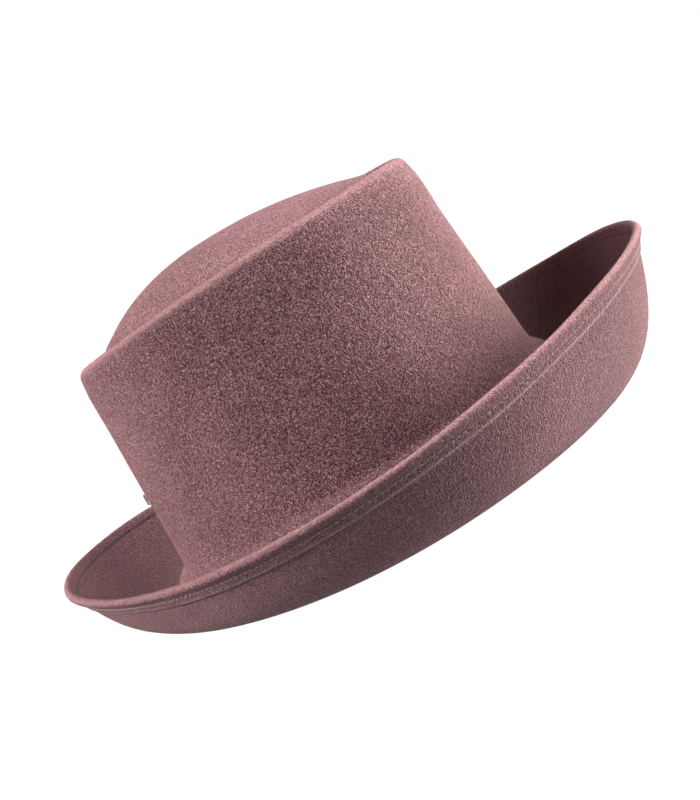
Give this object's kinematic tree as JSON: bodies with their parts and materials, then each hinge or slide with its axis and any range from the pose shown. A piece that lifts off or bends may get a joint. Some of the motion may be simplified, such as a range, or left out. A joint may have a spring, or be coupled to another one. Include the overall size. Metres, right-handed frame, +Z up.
{
  "type": "felt bowler hat",
  "caption": "Wool felt hat of the bowler family: telescope crown with a raised rim, rolled brim with a turned, stitched and wired edge, ribbon sweatband and satin lining.",
  "frame": {"origin": "middle of the bounding box in plan, on the level that the brim's lowest ring rests on", "axes": "+Z up through the crown, -Y to the front of the hat, +X to the wearer's left"},
  "size_m": [0.2826, 0.3337, 0.1493],
  "materials": {
    "wool_felt": "matt brushed felt",
    "hem_thread": "sewing thread",
    "spring_steel": "drawn wire",
    "grosgrain": "ribbed ribbon",
    "reed_plastic": "translucent cord",
    "satin": "satin",
    "label_tape": "woven tape",
    "pin_metal": "polished"
  },
  "bodies": {
    "root": {"felt_body": "wool_felt", "brim_wire": "spring_steel", "wire_ferrule": "spring_steel", "hem_thread_upper": "hem_thread", "hem_thread_under": "hem_thread", "sweatband": "grosgrain", "sweatband_reed": "reed_plastic", "sweatband_thread": "hem_thread", "sweatband_bow": "grosgrain", "lining_side": "satin", "lining_tip": "satin", "lining_piping": "satin", "tip_label": "label_tape", "size_label": "label_tape", "care_label": "label_tape", "crown_pin": "pin_metal", "pin_clutch": "pin_metal"}
  },
  "joints": []
}
